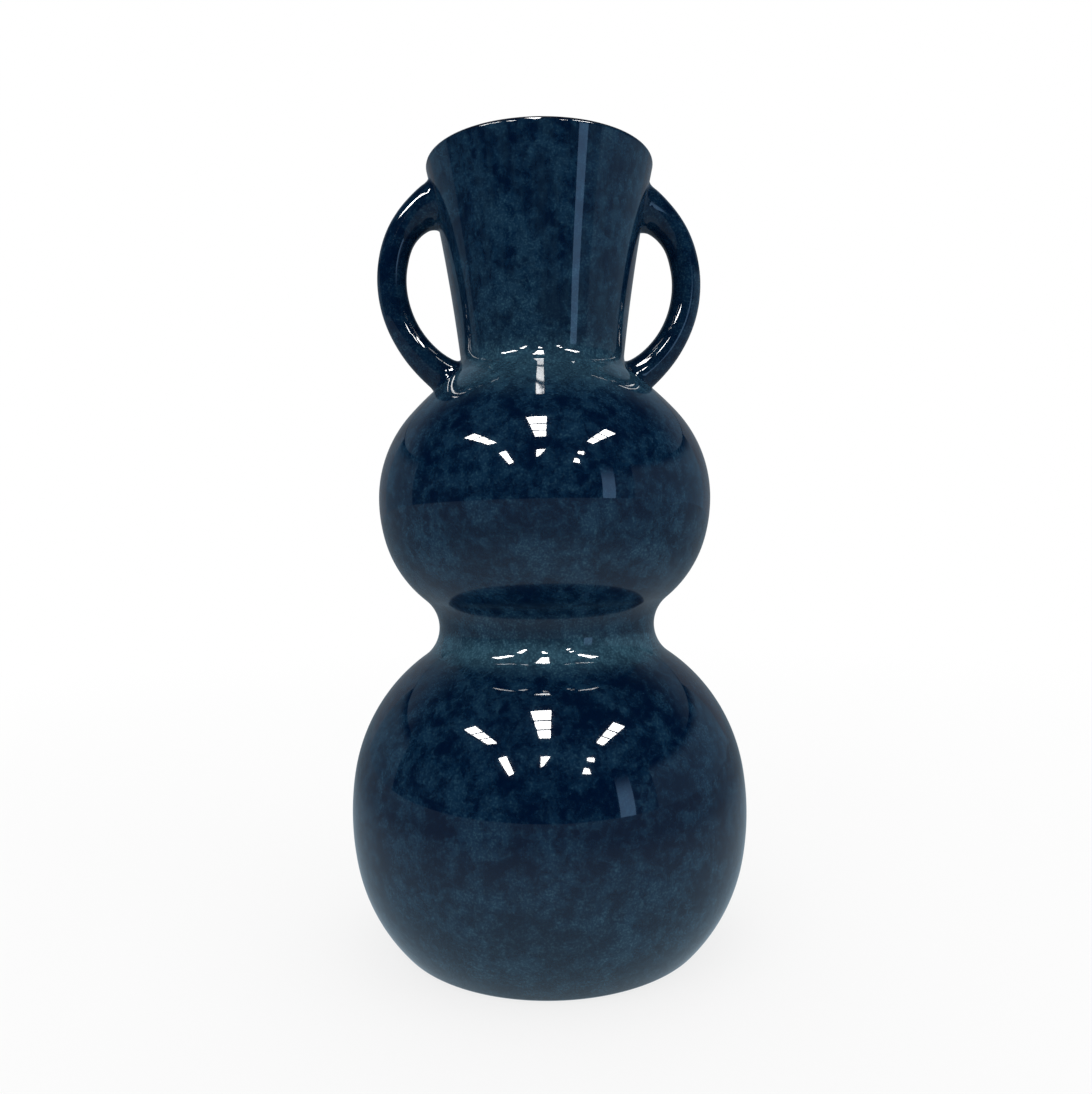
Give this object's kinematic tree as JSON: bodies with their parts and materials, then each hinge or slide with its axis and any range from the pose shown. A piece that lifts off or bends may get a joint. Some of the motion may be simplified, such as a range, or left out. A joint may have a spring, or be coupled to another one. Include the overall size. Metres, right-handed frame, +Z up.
{
  "type": "double gourd vase",
  "caption": "A tall glazed stoneware vase with a wide lower gourd, a smaller upper gourd, a flared neck and C-shaped side handles.",
  "frame": {"origin": "The middle of the flat foot ring, on the surface that the vase stands on.", "axes": "+Z is up along the axis that the vase is thrown on; the handles stand out along +X and -X; -Y faces the camera of the picture."},
  "size_m": [0.2042, 0.2042, 0.4],
  "materials": {
    "glaze": "gloss"
  },
  "bodies": {
    "root": {"lower_gourd": "glaze", "upper_gourd": "glaze", "flared_neck": "glaze", "handle_left": "glaze", "handle_right": "glaze"}
  },
  "joints": []
}
